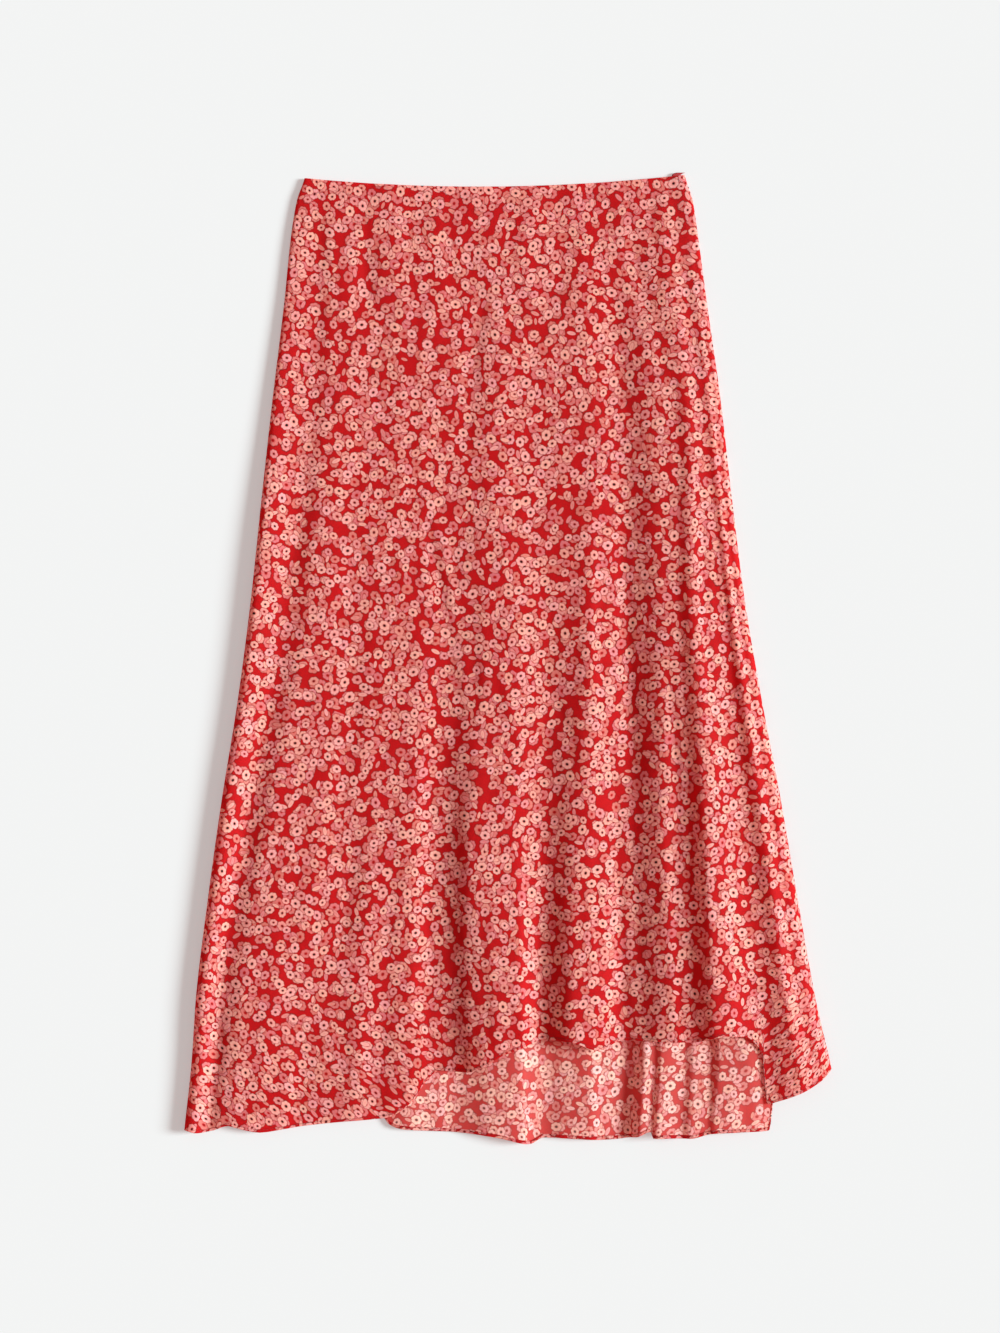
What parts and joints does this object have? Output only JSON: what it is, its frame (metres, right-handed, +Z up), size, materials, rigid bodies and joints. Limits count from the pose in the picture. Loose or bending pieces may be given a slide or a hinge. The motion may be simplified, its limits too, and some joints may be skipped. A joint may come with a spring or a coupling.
{
  "type": "midi skirt laid flat",
  "caption": "Flared midi skirt in a small daisy print, laid flat, with an arched front hem that shows the back panel's inside.",
  "frame": {"origin": "centre of the laid skirt's bounding box, on the surface that it lies on", "axes": "+Y from the hem towards the waist, +X towards the wearer's left side seam, +Z up, away from the surface"},
  "size_m": [0.5827, 0.8745, 0.0281],
  "materials": {
    "cloth": "printed crepe, matte",
    "hem": "printed crepe, right side of the cloth, matte",
    "zip": "plain woven tape, matte"
  },
  "bodies": {
    "root": {"front_panel": "cloth", "back_panel": "cloth", "back_hem": "hem", "side_zip": "zip"}
  },
  "joints": []
}
